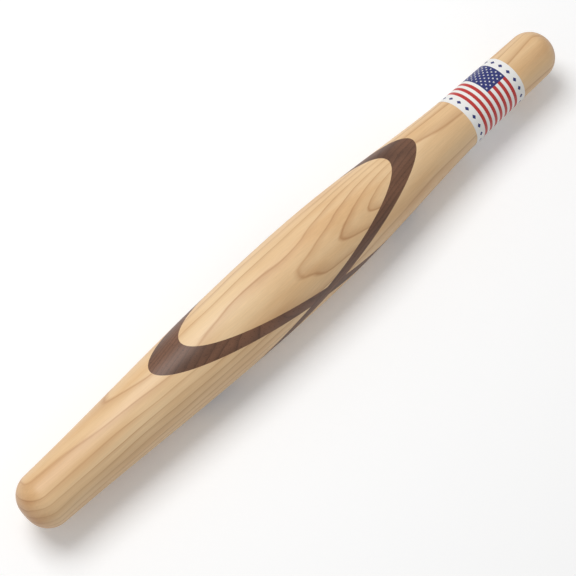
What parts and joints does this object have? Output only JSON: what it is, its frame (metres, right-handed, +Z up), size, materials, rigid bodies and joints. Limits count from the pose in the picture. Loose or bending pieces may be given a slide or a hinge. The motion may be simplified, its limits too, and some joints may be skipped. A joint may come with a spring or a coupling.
{
  "type": "french rolling pin",
  "caption": "Tapered rolling pin of pale maple with two crossing dark walnut strips, rounded ends and a paper band round one grip.",
  "frame": {"origin": "on the turning axis at the middle of the pin's length", "axes": "+X along the turning axis towards the grip with the paper band, +Z up as the pin lies on a table"},
  "size_m": [0.432, 0.05, 0.05],
  "materials": {
    "maple": "fine sanded and oiled",
    "walnut": "fine sanded and oiled",
    "label_paper": "coated paper"
  },
  "bodies": {
    "root": {"left_maple_block": "maple", "right_maple_block": "maple", "top_maple_wedge": "maple", "bottom_maple_wedge": "maple", "walnut_through_strip": "walnut", "walnut_split_strip_left": "walnut", "walnut_split_strip_right": "walnut", "label_band": "label_paper"}
  },
  "joints": []
}
